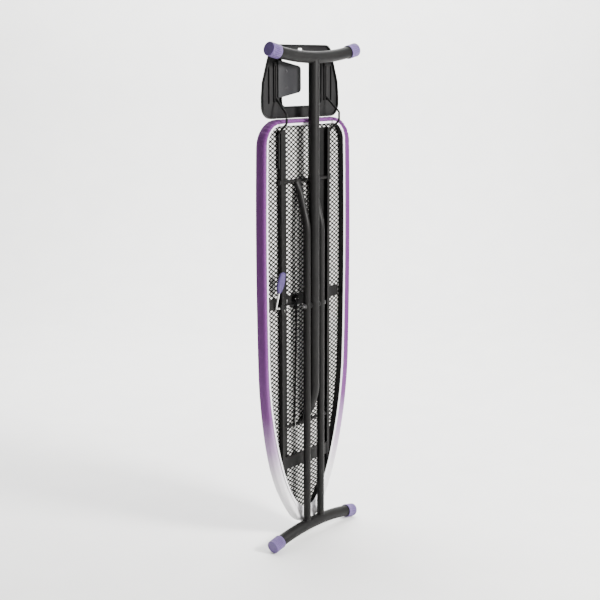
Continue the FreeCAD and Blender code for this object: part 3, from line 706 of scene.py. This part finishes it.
def foot_cap(node, body):
    """Ribbed cap over the end of an arched foot bar, hollow at its mouth."""
    low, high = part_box(node)
    side = 1 if low[0] > 0 else -1
    upper = low[2] > 0.5
    half, length = 0.193, 0.037
    arch = FOOT_ARCH
    end = math.asin(half / arch)
    begin = math.asin((half - length) / arch)
    radius = 0.020
    leg_y = (low[1] + high[1]) / 2
    sign = -1 if upper else 1
    end_z = (high[2] - radius * math.cos(end)) if upper else radius * math.cos(end)
    centre_z = end_z - sign * arch * math.cos(end)
    sides = 240
    ribs = 22

    def ring(angle, along, r, rib):
        """One ring at an arc angle, moved along the bar's direction, radius r with ribs of depth rib."""
        out = []
        tangent = Vector((math.cos(angle), 0, -sign * math.sin(angle)))
        normal = Vector((math.sin(angle), 0, sign * math.cos(angle)))
        middle = Vector((arch * math.sin(angle), leg_y, centre_z + sign * arch * math.cos(angle)))
        centre = middle + tangent * along
        for k in range(sides):
            a = 2 * math.pi * k / sides
            wave = (0.5 + 0.5 * math.cos(a * ribs)) ** 2
            rr = r - rib * wave
            p = centre + normal * (rr * math.cos(a)) + Vector((0, 1, 0)) * (rr * math.sin(a))
            out.append((side * p.x, p.y, p.z))
        return out

    span = end - begin
    shape = []
    profile = [(0.34, 17.1, 0), (0.33, 18.5, 0), (0.03, 18.8, 0), (0.0, 19.0, 0), (-0.004, 19.35, 0),
               (0.003, 19.75, 0), (0.03, 19.96, 0), (0.09, 19.98, 0), (0.115, 19.98, 0), (0.14, 19.98, 2.4),
               (0.5, 19.98, 2.4), (0.84, 19.98, 2.4), (0.86, 19.98, 0), (0.92, 19.97, 0), (0.955, 19.7, 0),
               (0.98, 19.0, 0), (0.993, 17.9, 0), (0.997, 16.4, 0), (0.990, 15.6, 0), (0.988, 14.6, 0),
               (0.988, 8.0, 0), (0.985, 1.0, 0)]
    for share, r, rib in profile:
        shape.append(ring(begin + max(share, 0) * span, min(share, 0) * span * arch, r * MM, rib * MM))
    verts = [p for r in shape for p in r]
    faces = []
    for j in range(len(shape) - 1):
        for k in range(sides):
            a, b = j * sides + k, j * sides + (k + 1) % sides
            faces.append((a, b, b + sides, a + sides))
    faces.append(tuple(range(sides))[::-1])
    last = (len(shape) - 1) * sides
    faces.append(tuple(range(last, last + sides)))
    obj = new_object(node + ".ribbed", verts, faces)
    outward(obj)
    return dress(obj, "lilac_plastic", body, node)


def lever_grip():
    """Leaf-shaped paddle, thick in the middle and drawn in to the rod at its foot."""
    low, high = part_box("lever_grip")
    shaft = Vector(((low[0] + high[0]) / 2, SHAFT_Y, SHAFT_Z))
    along = Vector((0, -math.sin(LEVER_LEAN), math.cos(LEVER_LEAN)))
    across = Vector((1, 0, 0))
    depth = Vector((0, math.cos(LEVER_LEAN), math.sin(LEVER_LEAN)))
    stations = [(50.0, 3.9, 3.9), (50.6, 4.8, 4.6), (53, 6.6, 5.0), (58, 9.6, 5.3), (65, 13.0, 5.4),
                (73, 14.7, 5.45), (82, 14.9, 5.4), (92, 14.2, 5.25), (101, 13.0, 5.0), (107, 11.9, 4.7),
                (110.8, 10.2, 4.2), (112.8, 8.0, 3.4), (113.7, 5.2, 2.3), (113.95, 1.2, 0.7)]
    sides = 40
    verts = []
    for t, wide, thick in stations:
        centre = shaft + along * (t * MM)
        for k in range(sides):
            a = 2 * math.pi * k / sides
            c, s = math.cos(a), math.sin(a)
            power = 2 / 2.7
            u = math.copysign(abs(c) ** power, c) * wide * MM
            v = math.copysign(abs(s) ** power, s) * thick * MM
            hollow = 0.9 * MM * max(0.0, 1 - (u / (0.62 * wide * MM)) ** 2) * (1 if s < 0 else 0)
            hollow *= min(1.0, max(0.0, (t - 56) / 8)) * min(1.0, max(0.0, (110 - t) / 8))
            p = centre + across * u + depth * (v + hollow)
            verts.append(tuple(p))
    faces = []
    for j in range(len(stations) - 1):
        for k in range(sides):
            a, b = j * sides + k, j * sides + (k + 1) % sides
            faces.append((a, b, b + sides, a + sides))
    faces.append(tuple(range(sides))[::-1])
    last = (len(stations) - 1) * sides
    faces.append(tuple(range(last, last + sides)))
    obj = new_object("grip_paddle", verts, faces)
    outward(obj)
    smooth = obj.modifiers.new("round", "SUBSURF")
    smooth.levels = smooth.render_levels = 1
    apply_modifiers(obj)
    dress(obj, "lilac_plastic", "lever", "lever_grip")
    # the paddle takes the darker copy of the lilac plastic: painted shade, the same plastic as the caps
    obj.data.materials[0] = MATERIALS["lilac_grip_painted_shade"]


def torsion_spring():
    low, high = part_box("return_spring")
    wire = 0.0007
    radius = 0.0039
    x0, x1 = low[0] + wire, high[0] - wire
    turns = 7.0
    points = [(x0, SHAFT_Y + radius, low[2])]
    steps = 210
    for i in range(steps + 1):
        a = 2 * math.pi * turns * i / steps
        x = x0 + (x1 - x0) * i / steps
        points.append((x, SHAFT_Y + radius * math.cos(a), SHAFT_Z - radius * math.sin(a)))
    points.append((x1, SHAFT_Y + radius, high[2]))
    obj = tube("spring_wire", points, wire, 12)
    return dress(obj, "bright_steel", "board", "return_spring")


def weld_beads():
    """Small weld fillets where the twin tubes meet the lower foot bar."""
    low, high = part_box("twin_foot_bar")
    leg_y = (low[1] + high[1]) / 2
    tube_x = 0.032
    ring = 0.0112
    outside = FOOT_TUBE + 0.0001
    beads = []
    for side in (-1, 1):
        points = []
        for i in range(48):
            a = 2 * math.pi * i / 48
            ripple = 0.00025 * math.sin(a * 9) + 0.0001 * math.sin(a * 23)
            px = side * tube_x + (ring + ripple) * math.cos(a)
            py = (ring + ripple) * math.sin(a)
            bar_z = high[2] - FOOT_TUBE - 0.0006 - px ** 2 / (2 * FOOT_ARCH)
            points.append((px, leg_y + py, bar_z + math.sqrt(max(0.0, outside ** 2 - py ** 2))))
        beads.append(tube("bead", points, 0.0014, 8, closed=True))
    obj = joined("foot_welds", beads)
    return dress(obj, "black_powder_coat", "twin_leg")


# ---------------------------------------------------------------- making

MATERIALS = make_materials()


def make_all():
    make_camera()
    make_studio()
    make_floor()
    for node, obj in frame["nodes"].items():
        obj.data.materials.clear()
        obj.data.materials.append(MATERIALS[SLOT_OF[node]])
    expanded_metal()
    foam()
    fabric_cover()
    hem()
    for node, width in EDGE_WIDTHS.items():
        fine = softened(node, width * MM)
        if node in ("pivot_nuts", "pivot_washers"):
            fine.data.materials[0] = MATERIALS["dull_zinc"]
    for leg in ("twin", "single"):
        for side in ("left", "right"):
            foot_cap(leg + "_cap_" + side, leg + "_leg")
    lever_grip()
    torsion_spring()
    weld_beads()


make_all()
